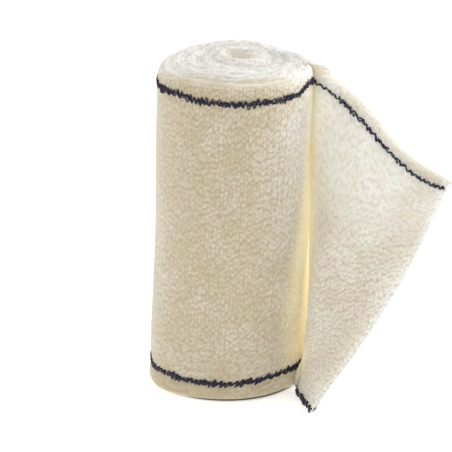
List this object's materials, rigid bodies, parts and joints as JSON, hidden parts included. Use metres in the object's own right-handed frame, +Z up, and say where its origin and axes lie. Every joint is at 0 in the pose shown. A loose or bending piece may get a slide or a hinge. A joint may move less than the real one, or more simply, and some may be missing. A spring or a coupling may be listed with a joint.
{
  "type": "crepe bandage roll",
  "caption": "Elastic crepe bandage standing on end as a soft roll, its loose end leaving the right side, folding forward and fanning out to a slanting cut end; striped along both selvedges.",
  "frame": {"origin": "centre of the roll's flat foot, on the floor", "axes": "+Z up along the roll, -Y towards the front, where the loose end's cut edge stands, +X to the side on which the loose end leaves the roll"},
  "size_m": [0.0902, 0.0587, 0.1023],
  "materials": {
    "crepe_cloth": "matte"
  },
  "bodies": {
    "root": {"bandage_roll": "crepe_cloth", "loose_end": "crepe_cloth"}
  },
  "joints": []
}
